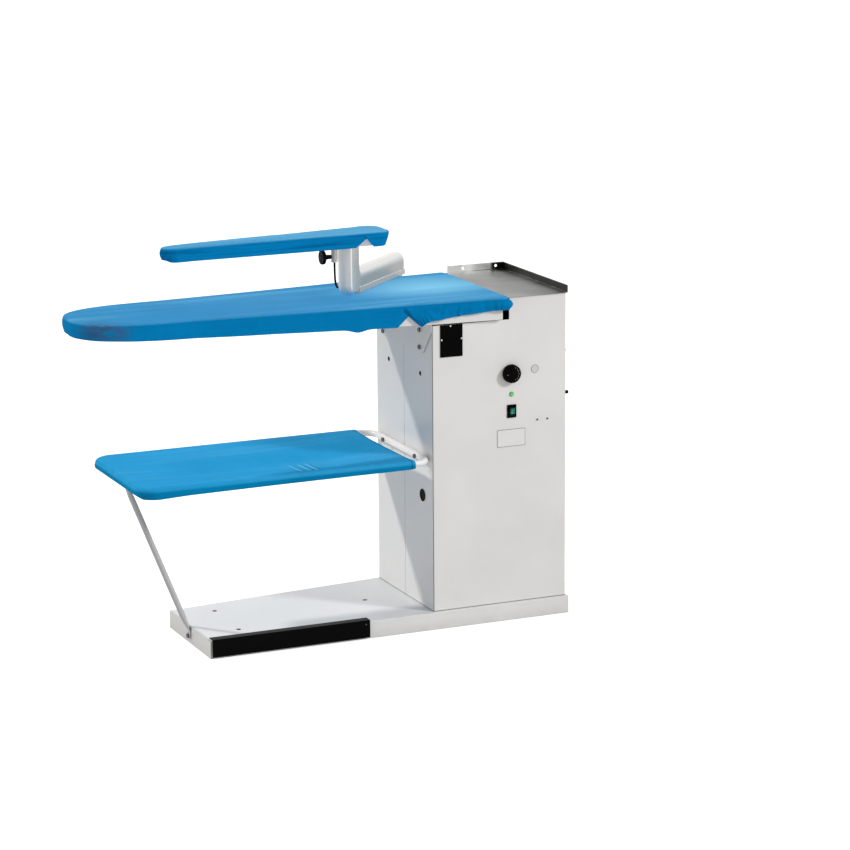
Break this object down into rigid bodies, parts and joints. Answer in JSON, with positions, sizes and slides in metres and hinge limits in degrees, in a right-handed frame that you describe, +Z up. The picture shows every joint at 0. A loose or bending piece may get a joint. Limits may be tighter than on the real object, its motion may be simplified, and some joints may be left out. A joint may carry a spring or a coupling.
{
  "type": "vacuum ironing table",
  "caption": "Free-standing vacuum ironing table with a suction cabinet, long padded board, swivelling sleeve board, lower cloth tray, iron tray and foot pedal.",
  "frame": {"origin": "on the floor under the middle of the whole table, seen from above", "axes": "+X from the board's nose towards the cabinet and its right side, +Y from the front with the controls to the back, +Z up"},
  "size_m": [1.424, 0.5012, 1.122],
  "materials": {
    "white_paint": "satin powder coat",
    "grey_paint": "silver-grey satin paint",
    "black_paint": "semi-matte black paint",
    "brushed_steel": "brushed stainless sheet",
    "plated_steel": "zinc-plated",
    "grey_casting": "plain grey",
    "blue_cloth": "plain woven cloth",
    "foam": "felt and foam",
    "black_plastic": "moulded black",
    "black_rubber": "matte black rubber",
    "pale_plastic": "light grey moulding",
    "green_lens": "clear green lens",
    "green_rocker": "dark green translucent rocker"
  },
  "bodies": {
    "table": {"base_pan": "white_paint", "pedal_pivot_rod": "plated_steel", "pedal_bracket_left": "plated_steel", "pedal_bracket_right": "plated_steel", "pedal_return_spring": "plated_steel", "pedal_switch": "black_plastic", "front_shell": "white_paint", "rear_shell": "white_paint", "side_grommet": "black_rubber", "inner_frame": "grey_casting", "fan_deck": "plated_steel", "motor_body": "grey_casting", "motor_capacitor": "pale_plastic", "fan_scroll": "grey_paint", "suction_duct": "plated_steel", "arm_feed_pipe": "plated_steel", "exhaust_duct": "plated_steel", "board_plenum": "white_paint", "board_plate": "plated_steel", "board_pad": "foam", "board_heater": "plated_steel", "board_cover": "blue_cloth", "board_bracket": "white_paint", "bracket_bolt_front_upper": "plated_steel", "bracket_bolt_front_lower": "plated_steel", "bracket_bolt_rear_upper": "plated_steel", "bracket_bolt_rear_lower": "plated_steel", "iron_tray": "brushed_steel", "arm_socket": "grey_paint", "arm_bush": "black_plastic", "thermostat_body": "pale_plastic", "pilot_lamp": "green_lens", "switch_bezel": "black_plastic", "accessory_plate": "black_paint", "side_plug": "pale_plastic", "cable_gland": "black_plastic", "lower_frame": "white_paint", "lower_frame_bolt_front": "plated_steel", "lower_frame_bolt_rear": "plated_steel", "lower_cloth": "blue_cloth", "strut": "white_paint", "strut_bolt_low": "plated_steel", "strut_bolt_high": "plated_steel"},
    "pedal": {"foot_pedal": "black_paint"},
    "plunger": {"pedal_switch_plunger": "pale_plastic"},
    "rotor": {"fan_impeller": "grey_casting", "motor_shaft": "plated_steel"},
    "arm": {"arm_swivel_pipe": "grey_paint", "arm_duct": "grey_paint", "arm_duct_lip": "grey_paint", "sleeve_clamp_tube": "grey_paint", "sleeve_rod": "plated_steel", "sleeve_lead": "black_rubber", "sleeve_shell": "grey_paint", "sleeve_plate": "plated_steel", "sleeve_pad": "foam", "sleeve_cover": "blue_cloth"},
    "clamp_knob": {"sleeve_clamp_knob": "black_plastic"},
    "thermostat": {"thermostat_knob": "black_plastic"},
    "rocker": {"switch_rocker": "green_rocker"}
  },
  "joints": [
    {"name": "arm_swivel", "type": "hinge", "parent": "table", "child": "arm", "pos_m": [0.356, 0.22241, 0], "axis": [0, 0, 1], "range_deg": [-90, 45]},
    {"name": "sleeve_clamp_turn", "type": "hinge", "parent": "arm", "child": "clamp_knob", "pos_m": [0.07463, -0.00414, 1.0498], "axis": [-1, 0, 0], "range_deg": [0, 360]},
    {"name": "thermostat_turn", "type": "hinge", "parent": "table", "child": "thermostat", "pos_m": [0.518, -0.21609, 0.717], "axis": [0, 1, 0], "range_deg": [0, 270]},
    {"name": "rocker_tilt", "type": "hinge", "parent": "table", "child": "rocker", "pos_m": [0.521, -0.21489, 0.608], "axis": [-1, 0, 0], "range_deg": [0, 18]},
    {"name": "foot_pedal_press", "type": "hinge", "parent": "table", "child": "pedal", "pos_m": [0, -0.15559, 0.026], "axis": [1, 0, 0], "range_deg": [0, 3], "stiffness_Nm_per_rad": 20, "springref_deg": -2.86, "deforming": ["pedal_return_spring"]},
    {"name": "pedal_switch_plunge", "type": "slide", "parent": "table", "child": "plunger", "axis": [0, 0, 1], "range_m": [0, 0.0022]},
    {"name": "fan_spin", "type": "hinge", "parent": "table", "child": "rotor", "pos_m": [0.419, -0.01509, 0.5459], "axis": [0, 0, 1], "continuous": true}
  ],
  "couplings": [
    {"joint": "pedal_switch_plunge", "follows": "foot_pedal_press", "m_per_rad": 0.042}
  ]
}
